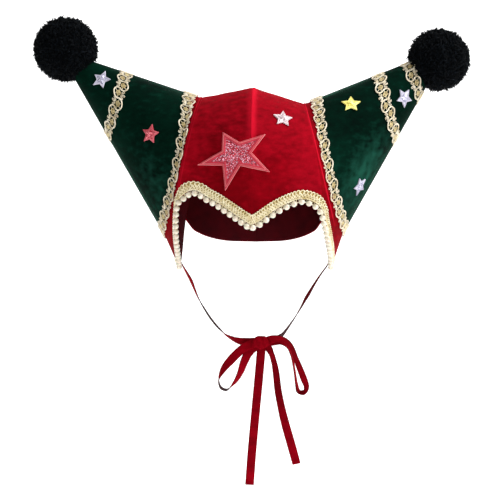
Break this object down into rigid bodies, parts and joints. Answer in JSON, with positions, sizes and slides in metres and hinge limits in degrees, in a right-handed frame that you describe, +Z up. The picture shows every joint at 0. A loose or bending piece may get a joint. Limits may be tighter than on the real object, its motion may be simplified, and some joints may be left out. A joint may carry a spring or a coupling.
{
  "type": "jester hat with chin ribbons",
  "caption": "Soft velvet jester hat with stiff side horns, pompoms, scroll braid, a pearl-edged rim, star patches, ear flaps and ribbons that tie under the chin.",
  "frame": {"origin": "middle of the head opening, level with the arches of the front rim, where the hat sits on the head", "axes": "+X to the viewer's right along the horns, +Y away from the viewer, towards the back of the head, +Z up"},
  "size_m": [0.4879, 0.2081, 0.5181],
  "materials": {
    "red_velvet": "red velvet pile over stiff backing",
    "green_velvet": "dark green velvet pile over stiff backing",
    "black_yarn": "clipped black yarn",
    "scroll_braid": "cream and gold metallic gimp",
    "rim_braid": "gold metallic gimp",
    "pearl": "imitation pearl",
    "pink_patch": "imitation leather with a glitter inset",
    "silver_star": "pale lilac glitter plastic",
    "red_star": "red glitter plastic",
    "yellow_star": "yellow glitter plastic",
    "ribbon_velvet": "narrow red velvet ribbon"
  },
  "bodies": {
    "root": {"crown_left": "red_velvet", "crown_right": "red_velvet", "side_panel_left": "red_velvet", "side_panel_right": "red_velvet", "horn_left": "green_velvet", "horn_right": "green_velvet", "pompom_left": "black_yarn", "pompom_right": "black_yarn", "horn_left_base_braid": "scroll_braid", "horn_left_mid_braid": "scroll_braid", "horn_right_base_braid": "scroll_braid", "horn_right_mid_braid": "scroll_braid", "horn_right_tip_braid": "scroll_braid", "rim_braid": "rim_braid", "pearl_string": "pearl", "star_big": "pink_patch", "star_crown": "silver_star", "star_left_silver": "silver_star", "star_left_red": "red_star", "star_right_yellow": "yellow_star", "star_right_silver": "silver_star", "star_right_low": "silver_star", "tie_left": "ribbon_velvet", "tie_right": "ribbon_velvet", "bow_knot": "ribbon_velvet", "bow_loop_left": "ribbon_velvet", "bow_loop_right": "ribbon_velvet", "bow_tail_left": "ribbon_velvet", "bow_tail_right": "ribbon_velvet"}
  },
  "joints": []
}
